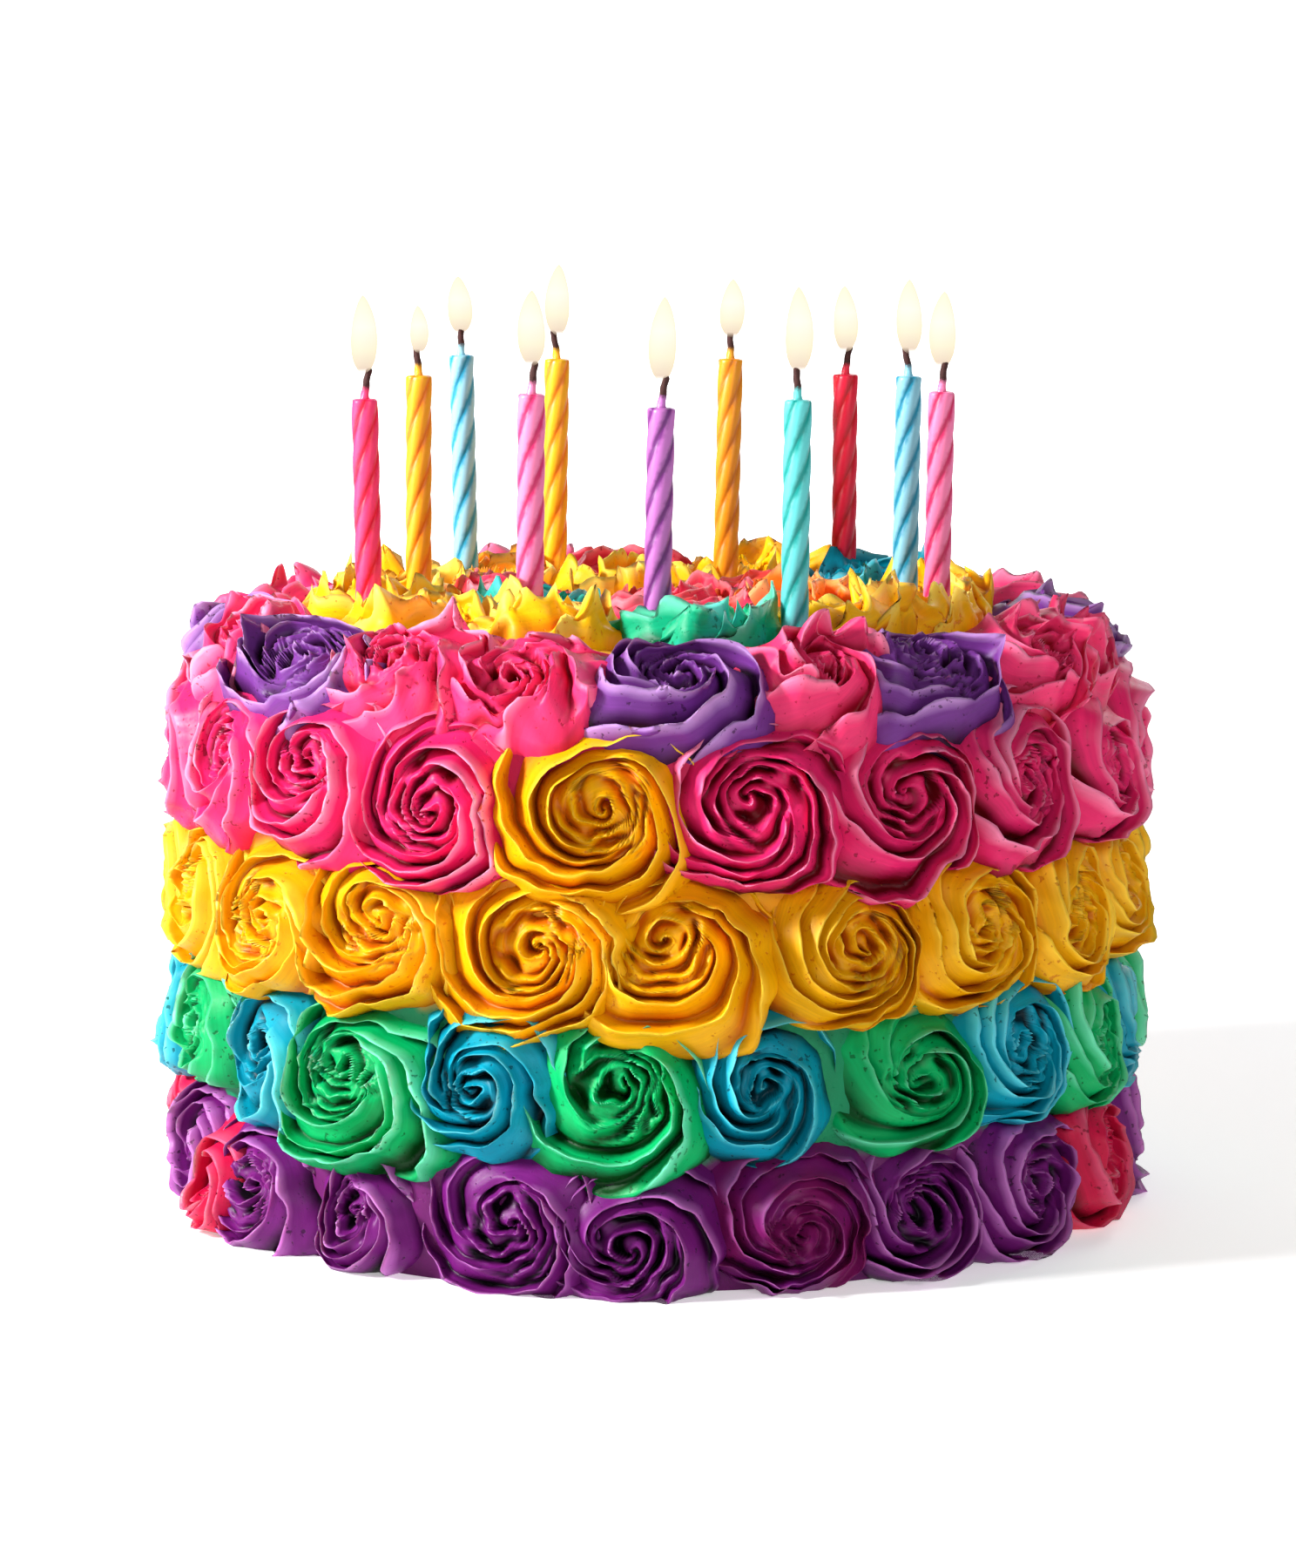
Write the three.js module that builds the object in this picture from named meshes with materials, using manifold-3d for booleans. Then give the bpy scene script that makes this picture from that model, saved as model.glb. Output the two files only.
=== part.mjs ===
// A birthday cake: an iced drum, five rows of piped buttercream rosettes round it, piped swirls on
// top, and eleven twisted wax candles pushed in through the swirls. Millimetres, +Z up, the origin at
// the middle of the base. Angles are in degrees round the cake from -Y, the front, towards +X.
import * as THREE from "three";
import { mergeVertices } from "three/addons/utils/BufferGeometryUtils.js";
import Module from "manifold-3d";

const wasm = await Module();
wasm.setup();

const GAP = 0.3; // left between two pieces that touch
const SEAT_GAP = 0.6; // under a rosette's flat-sided back, where it lies on the round drum

// The drum is the sponge under its base coat of icing.
const DRUM_RADIUS = 95;
const DRUM_HEIGHT = 124;
const SHOULDER_RADIUS = 20;
const DRUM_SIDES = 36;
const SHOULDER_STEPS = 3;

// Rosettes round the side. Each row is piped over the upper edge of the row below it.
// z is the height of the rosettes' middles, and turn the angle of the first one.
const SIDE_ROWS = [
  { node: "bottom_row", slot: "purple_cream", count: 21, z: 15.5, tall: 28.5, turn: -1.4 },
  { node: "green_teal_row", slot: "green_cream", count: 22, z: 43, tall: 30, turn: -3.3 },
  { node: "yellow_row", slot: "yellow_cream", count: 20, z: 72.5, tall: 31.5, turn: 4.2 },
  { node: "pink_row", slot: "pink_cream", count: 20, z: 99.8, tall: 27.5, turn: -7 },
];
// The border sits on the drum's shoulder and leans back.
const BORDER = { node: "border_row", slot: "pink_cream", count: 20, lean: 52, tall: 28, turn: 2 };
const ROSETTE_DEPTH = 12; // from the back to the highest ridge
const BORDER_DEPTH = 12;
const BORDER_SEAT = 1.2;
const SIDE_OVERLAP = 1.1; // a rosette's width against its share of the row
const UNEVEN_SIZE = 0.025; // how far a hand-piped rosette is from the row's size

// Swirls on top: a ring inside the border, a ring inside that and one in the middle.
const TOP_RINGS = [
  { count: 12, radius: 57, width: 31.8, turn: 8 },
  { count: 6, radius: 28.5, width: 31.4, turn: 8 },
  { count: 1, radius: 0, width: 31.5, turn: 8 },
];
const TOP_DEPTH = 9.5;

// Shape of one rosette, as shares of its radius and depth, from the back to the middle of the front.
// ridge says how much of the star nozzle's ridges shows there.
const ROSETTE_PROFILE = [
  { at: 0, depth: 0, ridge: 0 },
  { at: 0.9, depth: 0, ridge: 0 },
  { at: 1, depth: 0.3, ridge: 0.4 },
  { at: 0.55, depth: 0.86, ridge: 1 },
  { at: 0, depth: 0.78, ridge: 0 },
];
const ROSETTE_ARMS = 4;
const ARM_TURN = 90; // how far an arm winds from the rim to the middle
const ARM_TURN_UNEVEN = 20;
const RIDGE_DEPTH = 0.14; // half of ridge to groove, as a share of the depth
const SQUARENESS = 2.8; // 2 is an ellipse; more fills the corners between rosettes

const CANDLE_RADIUS = 2.9;
const CANDLE_LENGTH = 63;
const CANDLE_FLUTES = 4;
const FLUTE_DEPTH = 0.45;
const FLUTE_PITCH = 40; // length of one full turn
const CANDLE_STEPS = 8;
const CANDLE_CHAMFER = 0.8;
const WICK_RADIUS = 0.6;
const WICK_SEAT = 3; // how deep the wick sits in the wax
const WICK_RISE = 5.6;
const WICK_BEND = 0.9;
const WICK_SIDES = 5;
const WICK_STEPS = 3;
const HOLE_SIDES = 8;

// Each candle: the angle and distance of its foot from the middle, how high its wax stands, and how
// many degrees it leans to +X and to -Y.
const CANDLES = [
  { name: "hot_pink", slot: "hot_pink_wax", angle: 289, radius: 64.3, top: 174.8, lean: [-0.7, 0] },
  { name: "yellow_left", slot: "yellow_wax", angle: 264.2, radius: 52.2, top: 178.5, lean: [0.5, 0] },
  { name: "blue_left", slot: "blue_wax", angle: 221.1, radius: 65.4, top: 181, lean: [-0.9, 0.4] },
  { name: "pink_left", slot: "pink_wax", angle: 336.7, radius: 65, top: 178, lean: [0.7, 0.6] },
  { name: "yellow_back", slot: "yellow_wax", angle: 204.2, radius: 56.3, top: 180, lean: [0.9, 0] },
  { name: "lavender", slot: "lavender_wax", angle: 0.3, radius: 56.6, top: 175, lean: [1.1, 0.5] },
  { name: "gold", slot: "yellow_wax", angle: 158.3, radius: 44, top: 180.5, lean: [1.2, -0.5] },
  { name: "turquoise", slot: "turquoise_wax", angle: 23.9, radius: 70.5, top: 177, lean: [0.6, 0] },
  { name: "red", slot: "red_wax", angle: 139.4, radius: 67.7, top: 176.5, lean: [0.1, 0] },
  { name: "blue_right", slot: "blue_wax", angle: 92.2, radius: 55.1, top: 178.5, lean: [0.6, 0] },
  { name: "pink_right", slot: "pink_wax", angle: 69, radius: 64.6, top: 176.5, lean: [0.8, 0.4] },
];

const COLOURS = {
  base_coat: 0xe8b838,
  purple_cream: 0x6f2a74,
  green_cream: 0x0f9a5c,
  yellow_cream: 0xe6a40e,
  pink_cream: 0xd2356f,
  top_cream: 0xf2b41c,
  hot_pink_wax: 0xf53474,
  yellow_wax: 0xfbae12,
  blue_wax: 0x86cfe2,
  pink_wax: 0xf27ba9,
  lavender_wax: 0xc583c6,
  turquoise_wax: 0x49c9c1,
  red_wax: 0xe41140,
  wick: 0x2a1a18,
};

// The closed solid of a geometry, for joining and cutting.
function solidOf(geometry) {
  const bare = geometry.clone();
  bare.deleteAttribute("normal");
  bare.deleteAttribute("uv");
  const merged = mergeVertices(bare, 1e-4);
  return new wasm.Manifold(
    new wasm.Mesh({
      numProp: 3,
      vertProperties: merged.attributes.position.array,
      triVerts: new Uint32Array(merged.index.array),
    }),
  );
}

function meshOf(name, slot, solid) {
  const cut = solid.getMesh();
  const geometry = new THREE.BufferGeometry();
  geometry.setAttribute("position", new THREE.BufferAttribute(cut.vertProperties, 3));
  geometry.setIndex(new THREE.BufferAttribute(cut.triVerts, 1));
  geometry.computeVertexNormals();
  const material = new THREE.MeshStandardMaterial({
    color: COLOURS[slot],
    roughness: slot === "wick" ? 0.9 : 0.5,
    metalness: 0,
  });
  material.name = slot;
  const mesh = new THREE.Mesh(geometry, material);
  mesh.name = name;
  return mesh;
}

// The main body of a solid, without any crumb or sealed bubble that a cut has left.
function mainBody(solid) {
  return solid.decompose().reduce((best, body) => (body.volume() > best.volume() ? body : best));
}

// A steady number from -1 to 1 for the nth piece of a row, so that no two are quite alike.
function uneven(n, row) {
  return Math.sin(12.9898 * (n + 1) + 78.233 * (row + 1));
}

// A drum with a rounded shoulder.
function drumSolid() {
  const profile = [new THREE.Vector2(0, 0), new THREE.Vector2(DRUM_RADIUS, 0)];
  for (let i = 0; i <= SHOULDER_STEPS; i++) {
    const turn = (i / SHOULDER_STEPS) * (Math.PI / 2);
    profile.push(
      new THREE.Vector2(
        DRUM_RADIUS - SHOULDER_RADIUS * (1 - Math.cos(turn)),
        DRUM_HEIGHT - SHOULDER_RADIUS * (1 - Math.sin(turn)),
      ),
    );
  }
  profile.push(new THREE.Vector2(0, DRUM_HEIGHT));
  return solidOf(new THREE.LatheGeometry(profile, DRUM_SIDES).rotateX(Math.PI / 2));
}

// One rosette, facing +Z with +Y up: a dome whose ridges wind in to the middle, bent to lie on a
// surface of the given radii across and along. Its back stands off that surface by the seat.
function rosetteGeometry({ width, tall, depth, seat, twist, crest, bendAcross, bendAlong, grow }) {
  const profile = ROSETTE_PROFILE.map(({ at }, i) => new THREE.Vector2(at, i));
  const geometry = new THREE.LatheGeometry(profile, 2 * ROSETTE_ARMS).rotateX(Math.PI / 2);
  const place = geometry.attributes.position;
  for (let i = 0; i < place.count; i++) {
    const ring = ROSETTE_PROFILE[Math.round(place.getZ(i))];
    const column = Math.atan2(place.getY(i), place.getX(i));
    const angle = column + THREE.MathUtils.degToRad(twist) * (1 - ring.at);
    const corner = Math.abs(Math.cos(angle)) ** SQUARENESS + Math.abs(Math.sin(angle)) ** SQUARENESS;
    const reach = ring.at * corner ** (-1 / SQUARENESS);
    const spread = grow * ring.at ** 4;
    const x = reach * (width / 2 + spread) * Math.cos(angle);
    const y = reach * (tall / 2 + spread) * Math.sin(angle);
    const ridge = crest * Math.cos(ROSETTE_ARMS * column) * RIDGE_DEPTH * ring.ridge;
    const bend = (x * x) / (2 * bendAcross) + (y * y) / (2 * bendAlong);
    const out = seat + (ring.depth + ridge) * depth + (ring.depth > 0 ? grow : -grow) - bend;
    place.setXYZ(i, x, y, out);
  }
  return geometry;
}

// Where a rosette goes: the point where its middle meets the drum, and the way that it faces.
function placement(angle, radius, height, lean) {
  const turn = THREE.MathUtils.degToRad(angle);
  const tilt = THREE.MathUtils.degToRad(lean);
  const outward = new THREE.Vector3(Math.sin(turn), -Math.cos(turn), 0);
  const across = new THREE.Vector3(Math.cos(turn), Math.sin(turn), 0);
  const up = new THREE.Vector3(0, 0, 1);
  const facing = outward.clone().multiplyScalar(Math.cos(tilt)).addScaledVector(up, Math.sin(tilt));
  const along = up.clone().multiplyScalar(Math.cos(tilt)).addScaledVector(outward, -Math.sin(tilt));
  return new THREE.Matrix4()
    .makeBasis(across, along, facing)
    .setPosition(outward.multiplyScalar(radius).setZ(height));
}

// A ring of rosettes, run together where they touch. place gives the nth one's placement, and row
// is the number that sets how uneven they are.
function rosetteRing(count, row, shape, place) {
  let ring = null;
  for (let n = 0; n < count; n++) {
    const size = 1 + UNEVEN_SIZE * uneven(n, row);
    const geometry = rosetteGeometry({
      ...shape,
      width: shape.width * size,
      tall: shape.tall * size,
      depth: shape.depth * size,
      twist: ARM_TURN + ARM_TURN_UNEVEN * uneven(n, row + 0.5),
      crest: n % 2 === 0 ? 1 : -1,
    });
    const rosette = solidOf(geometry.applyMatrix4(place(n)));
    ring = ring ? ring.add(rosette) : rosette;
  }
  return ring;
}

// One row round the side, grown by the given clearance.
function sideRow(row, index, grow) {
  const shape = {
    width: (2 * Math.PI * DRUM_RADIUS * SIDE_OVERLAP) / row.count,
    tall: row.tall,
    depth: ROSETTE_DEPTH,
    seat: SEAT_GAP,
    bendAcross: DRUM_RADIUS,
    bendAlong: Infinity,
    grow,
  };
  const step = 360 / row.count;
  return rosetteRing(row.count, index, shape, (n) =>
    placement(row.turn + n * step, DRUM_RADIUS, row.z, 0),
  );
}

// The row that leans back on the shoulder, grown by the given clearance.
function borderRow(grow) {
  const tilt = THREE.MathUtils.degToRad(BORDER.lean);
  const radius = DRUM_RADIUS - SHOULDER_RADIUS * (1 - Math.cos(tilt));
  const height = DRUM_HEIGHT - SHOULDER_RADIUS * (1 - Math.sin(tilt));
  const shape = {
    width: (2 * Math.PI * radius * SIDE_OVERLAP) / BORDER.count,
    tall: BORDER.tall,
    depth: BORDER_DEPTH,
    seat: BORDER_SEAT,
    bendAcross: radius / Math.cos(tilt),
    bendAlong: SHOULDER_RADIUS,
    grow,
  };
  const step = 360 / BORDER.count;
  return rosetteRing(BORDER.count, SIDE_ROWS.length, shape, (n) =>
    placement(BORDER.turn + n * step, radius, height, BORDER.lean),
  );
}

function topSwirls() {
  return TOP_RINGS.map(({ count, radius, width, turn }, index) => {
    const shape = {
      width,
      tall: width,
      depth: TOP_DEPTH,
      seat: GAP,
      bendAcross: Infinity,
      bendAlong: Infinity,
      grow: 0,
    };
    const step = 360 / count;
    return rosetteRing(count, SIDE_ROWS.length + 1 + index, shape, (n) =>
      placement(turn + n * step, radius, DRUM_HEIGHT, 90),
    );
  }).reduce((swirls, ring) => swirls.add(ring));
}

// A candle's own frame has its foot at the origin and its axis along +Z.
function candlePlacement({ angle, radius, top, lean }) {
  const turn = THREE.MathUtils.degToRad(angle);
  const [leanRight, leanFront] = lean.map(THREE.MathUtils.degToRad);
  return new THREE.Matrix4()
    .makeTranslation(radius * Math.sin(turn), -radius * Math.cos(turn), top - CANDLE_LENGTH)
    .multiply(new THREE.Matrix4().makeRotationY(leanRight))
    .multiply(new THREE.Matrix4().makeRotationX(leanFront));
}

// A twisted candle: its flutes wind up it like a screw's thread. The wick's seat is open at the top.
function candleSolid() {
  const profile = [new THREE.Vector2(0, 0)];
  const shaft = CANDLE_LENGTH - CANDLE_CHAMFER;
  for (let i = 0; i <= CANDLE_STEPS; i++) {
    profile.push(new THREE.Vector2(CANDLE_RADIUS, (shaft * i) / CANDLE_STEPS));
  }
  profile.push(new THREE.Vector2(CANDLE_RADIUS - CANDLE_CHAMFER, CANDLE_LENGTH));
  profile.push(new THREE.Vector2(0, CANDLE_LENGTH));
  const geometry = new THREE.LatheGeometry(profile, 2 * CANDLE_FLUTES).rotateX(Math.PI / 2);
  const place = geometry.attributes.position;
  for (let i = 0; i < place.count; i++) {
    const [x, y, z] = [place.getX(i), place.getY(i), place.getZ(i)];
    const distance = Math.hypot(x, y);
    const column = Math.atan2(y, x);
    const groove = distance * (FLUTE_DEPTH / CANDLE_RADIUS) * (1 - Math.cos(CANDLE_FLUTES * column)) / 2;
    const angle = column + (2 * Math.PI * z) / FLUTE_PITCH;
    place.setXYZ(i, (distance - groove) * Math.cos(angle), (distance - groove) * Math.sin(angle), z);
  }
  const seat = new THREE.CylinderGeometry(
    WICK_RADIUS + GAP,
    WICK_RADIUS + GAP,
    2 * WICK_SEAT,
    WICK_SIDES,
  ).rotateX(Math.PI / 2);
  return solidOf(geometry).subtract(solidOf(seat.translate(0, 0, CANDLE_LENGTH)));
}

// The wick rises from its seat and bends over at the burnt end.
function wickSolid() {
  const foot = CANDLE_LENGTH - WICK_SEAT + GAP;
  const path = new THREE.CatmullRomCurve3([
    new THREE.Vector3(0, 0, foot),
    new THREE.Vector3(0, 0, CANDLE_LENGTH + WICK_RISE / 3),
    new THREE.Vector3(WICK_BEND / 3, 0, CANDLE_LENGTH + (WICK_RISE * 2) / 3),
    new THREE.Vector3(WICK_BEND, 0, CANDLE_LENGTH + WICK_RISE),
  ]);
  const section = new THREE.Shape();
  for (let i = 0; i < WICK_SIDES; i++) {
    const angle = (2 * Math.PI * i) / WICK_SIDES;
    const corner = [WICK_RADIUS * Math.cos(angle), WICK_RADIUS * Math.sin(angle)];
    if (i === 0) section.moveTo(...corner);
    else section.lineTo(...corner);
  }
  return solidOf(
    new THREE.ExtrudeGeometry(section, { steps: WICK_STEPS, extrudePath: path, bevelEnabled: false }),
  );
}

// The hole that a candle makes in the icing, open at the top.
function holeSolid() {
  const radius = (CANDLE_RADIUS + GAP) / Math.cos(Math.PI / HOLE_SIDES);
  const hole = new THREE.CylinderGeometry(radius, radius, CANDLE_LENGTH, HOLE_SIDES);
  return hole.rotateX(Math.PI / 2).translate(0, 0, CANDLE_LENGTH / 2 - GAP);
}

function cut(solid, ...cutters) {
  return cutters.reduce((left, cutter) => left.subtract(cutter), solid);
}

const cake = new THREE.Group();

const holes = CANDLES.map((candle) => solidOf(holeSolid().applyMatrix4(candlePlacement(candle))));
cake.add(meshOf("drum", "base_coat", cut(drumSolid(), ...holes)));

const borderRoom = borderRow(GAP);
SIDE_ROWS.forEach((row, index) => {
  const above = SIDE_ROWS[index + 1];
  const room = above ? sideRow(above, index + 1, GAP) : borderRoom;
  cake.add(meshOf(row.node, row.slot, mainBody(cut(sideRow(row, index, 0), room))));
});
cake.add(meshOf(BORDER.node, BORDER.slot, borderRow(0)));
cake.add(meshOf("top_swirls", "top_cream", mainBody(cut(topSwirls(), ...holes))));

CANDLES.forEach((candle) => {
  const matrix = candlePlacement(candle);
  for (const [name, slot, solid] of [
    [`candle_${candle.name}`, candle.slot, candleSolid()],
    [`wick_${candle.name}`, "wick", wickSolid()],
  ]) {
    const mesh = meshOf(name, slot, solid);
    mesh.applyMatrix4(matrix);
    cake.add(mesh);
  }
});

export default cake;
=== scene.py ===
import math

import bmesh
import bpy
import numpy as np
from mathutils import Matrix, Vector


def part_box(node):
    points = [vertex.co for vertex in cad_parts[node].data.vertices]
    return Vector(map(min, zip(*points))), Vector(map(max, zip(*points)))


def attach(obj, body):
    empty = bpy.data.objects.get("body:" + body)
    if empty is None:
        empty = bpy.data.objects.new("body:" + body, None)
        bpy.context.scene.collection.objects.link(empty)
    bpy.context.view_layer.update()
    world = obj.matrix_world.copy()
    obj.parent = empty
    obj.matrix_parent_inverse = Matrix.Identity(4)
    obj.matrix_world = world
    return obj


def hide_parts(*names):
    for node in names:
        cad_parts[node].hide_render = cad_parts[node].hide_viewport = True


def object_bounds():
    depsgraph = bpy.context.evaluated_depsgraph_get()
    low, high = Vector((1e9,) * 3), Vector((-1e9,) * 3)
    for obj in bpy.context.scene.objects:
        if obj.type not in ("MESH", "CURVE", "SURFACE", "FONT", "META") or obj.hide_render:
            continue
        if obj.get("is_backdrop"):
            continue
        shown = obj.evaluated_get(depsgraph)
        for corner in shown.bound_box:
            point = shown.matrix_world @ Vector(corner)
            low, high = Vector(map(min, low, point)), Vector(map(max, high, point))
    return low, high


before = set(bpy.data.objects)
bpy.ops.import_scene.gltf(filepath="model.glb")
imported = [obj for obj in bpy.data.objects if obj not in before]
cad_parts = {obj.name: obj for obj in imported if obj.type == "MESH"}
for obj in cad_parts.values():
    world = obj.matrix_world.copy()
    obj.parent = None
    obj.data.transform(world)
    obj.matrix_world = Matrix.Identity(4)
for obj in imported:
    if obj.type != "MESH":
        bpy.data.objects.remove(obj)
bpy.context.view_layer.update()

# Base coat: the round sponge is plastered all over with soft buttercream, spread with a palette
# knife before anything is piped on it. It shows in the gaps between the rosettes, where each row's
# colour has been smeared on to it. The helpers for spun solids and icing materials start here too.
MM = 0.001
_, DRUM_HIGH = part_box("drum")
DRUM_RADIUS = DRUM_HIGH.x
DRUM_TOP = DRUM_HIGH.z
SHOULDER = 20 * MM
COAT_THICKNESS = 4.5 * MM
COAT_LIFT = 1.5 * MM
COAT_SWELL = 1.1 * MM
COAT_SIDE_TOP = DRUM_TOP * 0.84
COAT_RINGS = 14
CORNER_STEPS = 6
TOP_STEPS = 10
COAT_COLUMNS = 240


def spun_solid(profile, columns):
    """A closed solid of revolution from (radius, height) points that start and end on the axis."""
    bm = bmesh.new()
    line = [bm.verts.new((radius, 0, height)) for radius, height in profile]
    edges = [bm.edges.new(pair) for pair in zip(line, line[1:])]
    bmesh.ops.spin(bm, geom=line + edges, cent=(0, 0, 0), axis=(0, 0, 1), angle=2 * math.pi,
                   steps=columns, use_merge=True)
    bmesh.ops.remove_doubles(bm, verts=bm.verts, dist=1e-7)
    bmesh.ops.recalc_face_normals(bm, faces=bm.faces)
    mesh = bpy.data.meshes.new("spun")
    bm.to_mesh(mesh)
    bm.free()
    return mesh


def points_of(mesh):
    """A mesh's vertices as an array with one row for each."""
    points = np.empty(len(mesh.vertices) * 3)
    mesh.vertices.foreach_get("co", points)
    return points.reshape(-1, 3)


def ripple(points, seed, length, waves=7):
    """Smooth unevenness from -1 to 1 over points, with bumps about the given length across."""
    rng = np.random.default_rng(seed)
    total = np.zeros(len(points))
    for _ in range(waves):
        way = rng.normal(size=points.shape[1])
        way *= 2 * math.pi / (length * rng.uniform(0.7, 1.6)) / np.linalg.norm(way)
        total += np.sin(points @ way + rng.uniform(0, 2 * math.pi))
    return total / math.sqrt(waves) / 1.4


def add_piece(name, mesh, material, nodes):
    """A smooth-shaded piece of the cake that stands for the given solids."""
    mesh.polygons.foreach_set("use_smooth", [True] * len(mesh.polygons))
    mesh.materials.append(material)
    piece = bpy.data.objects.new(name, mesh)
    mesh.name = name
    bpy.context.scene.collection.objects.link(piece)
    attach(piece, "root")
    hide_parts(*nodes)
    return piece


def set_value(mesh, name, values):
    """Stores one number for each vertex, for a material to read."""
    mesh.attributes.new(name, "FLOAT", "POINT").data.foreach_set("value", values)


def feed(tree, sockets, values):
    """Links each value into its socket, or sets it there if it is a plain value."""
    for socket, value in zip(sockets, values):
        if isinstance(value, bpy.types.NodeSocket):
            tree.links.new(value, socket)
        else:
            socket.default_value = value


def node(tree, kind, **inputs):
    made = tree.nodes.new(kind)
    feed(tree, [made.inputs[name] for name in inputs], inputs.values())
    return made


def mix_colour(tree, factor, first, second):
    made = tree.nodes.new("ShaderNodeMix")
    made.data_type = "RGBA"
    feed(tree, (made.inputs[0], made.inputs[6], made.inputs[7]), (factor, first, second))
    return made.outputs[2]


def sum_of(tree, operation, *values):
    made = tree.nodes.new("ShaderNodeMath")
    made.operation = operation
    feed(tree, made.inputs, values)
    return made.outputs[0]


def ramp_of(tree, value, low, high, start=0.0, end=1.0):
    """Goes from start to end as the value goes from low to high."""
    made = node(tree, "ShaderNodeMapRange", Value=value)
    feed(tree, made.inputs[1:5], (low, high, start, end))
    return made.outputs[0]


def stored(tree, name):
    """Reads a number stored on the vertices."""
    made = tree.nodes.new("ShaderNodeAttribute")
    made.attribute_name = name
    return made.outputs["Fac"]


def new_material(name):
    """A new material with its node tree and its shader."""
    material = bpy.data.materials.new(name)
    material.use_nodes = True
    return material, material.node_tree, material.node_tree.nodes["Principled BSDF"]


def linear(red, green, blue):
    """A colour given in the usual 0 to 255 steps, as light."""
    parts = [v / 255 for v in (red, green, blue)]
    return (*[v / 12.92 if v <= 0.04045 else ((v + 0.055) / 1.055) ** 2.4 for v in parts], 1)


# Bumps in a metre, for each of the noises in the icing.
PATCH_SCALE = 55
STREAK_SCALE = 90
TORN_SCALE = 110
GRAIN_SCALE = 420
PIT_SCALE = 800
LANE_SPREAD = 9.0


def buttercream_group():
    """The look that all the icing shares: a pale painted highlight on the thin edges, dark painted
    shade in the deep grooves and in the pits, streaks, and bump.
    """
    tree = bpy.data.node_groups.new("Buttercream", "ShaderNodeTree")
    face = tree.interface
    for name in ("EdgeHighlight", "Body", "GrooveShade", "Stain"):
        face.new_socket(name, in_out="INPUT", socket_type="NodeSocketColor")
    face.new_socket("Color", in_out="OUTPUT", socket_type="NodeSocketColor")
    face.new_socket("Roughness", in_out="OUTPUT", socket_type="NodeSocketFloat")
    face.new_socket("Height", in_out="OUTPUT", socket_type="NodeSocketFloat")
    given = tree.nodes.new("NodeGroupInput")
    out = tree.nodes.new("NodeGroupOutput")
    place = tree.nodes.new("ShaderNodeTexCoord").outputs["Object"]

    def noise(scale, detail, rough):
        made = node(tree, "ShaderNodeTexNoise", Vector=place, Scale=scale, Detail=detail,
                    Roughness=rough)
        return made.outputs["Fac"]

    def ramp(*values):
        return ramp_of(tree, *values)

    patch = noise(PATCH_SCALE, 3, 0.5)
    lanes = sum_of(tree, "MULTIPLY", stored(tree, "lane"), LANE_SPREAD)
    lanes = node(tree, "ShaderNodeCombineXYZ", X=lanes)
    along = tree.nodes.new("ShaderNodeVectorMath")
    along.operation = "MULTIPLY_ADD"
    tree.links.new(place, along.inputs[0])
    along.inputs[1].default_value = (STREAK_SCALE, STREAK_SCALE, STREAK_SCALE)
    tree.links.new(lanes.outputs[0], along.inputs[2])
    streak = node(tree, "ShaderNodeTexNoise", Vector=along.outputs[0], Scale=1.0, Detail=4.0,
                  Roughness=0.6).outputs["Fac"]
    # The ridge paints light and shade into the colour: a pale highlight towards each thin edge and
    # dark shade down in the grooves.
    uneven = sum_of(tree, "ADD", stored(tree, "ridge"), ramp(patch, 0.3, 0.7, -0.08, 0.08))
    groove_shade = ramp(uneven, 0.0, 0.36, 1.0, 0.0)
    edge = ramp(uneven, 0.62, 1.18)
    colour = mix_colour(tree, groove_shade, given.outputs["Body"], given.outputs["GrooveShade"])
    colour = mix_colour(tree, edge, colour, given.outputs["EdgeHighlight"])
    stain = sum_of(tree, "ADD", stored(tree, "stain"), ramp(patch, 0.3, 0.7, -0.3, 0.3))
    stain = ramp(stain, 0.35, 0.75)
    colour = mix_colour(tree, stain, colour, given.outputs["Stain"])
    tone = sum_of(tree, "ADD", stored(tree, "tone"), ramp(streak, 0.3, 0.7, -0.1, 0.1))
    bright = node(tree, "ShaderNodeHueSaturation", Color=colour, Value=sum_of(tree, "ADD", tone, 1.0))
    torn = ramp(noise(TORN_SCALE, 3, 0.6), 0.52, 0.66, -0.02, 0.06)
    # Pits are small air holes: bumped in, and their colour darkened as painted shade inside them.
    pit = ramp(sum_of(tree, "ADD", noise(PIT_SCALE, 2, 0.5), torn), 0.65, 0.7)
    dark = mix_colour(tree, sum_of(tree, "MULTIPLY", pit, 0.65), bright.outputs[0],
                      given.outputs["GrooveShade"])
    rough = ramp(streak, 0.3, 0.7, 0.36, 0.52)
    grain = sum_of(tree, "MULTIPLY", noise(GRAIN_SCALE, 5, 0.62), 0.8)
    height = sum_of(tree, "SUBTRACT", grain, pit)
    tree.links.new(dark, out.inputs["Color"])
    tree.links.new(rough, out.inputs["Roughness"])
    tree.links.new(height, out.inputs["Height"])
    return tree


BUTTERCREAM = buttercream_group()
FINE_BUMP = 0.22 * MM


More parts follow.
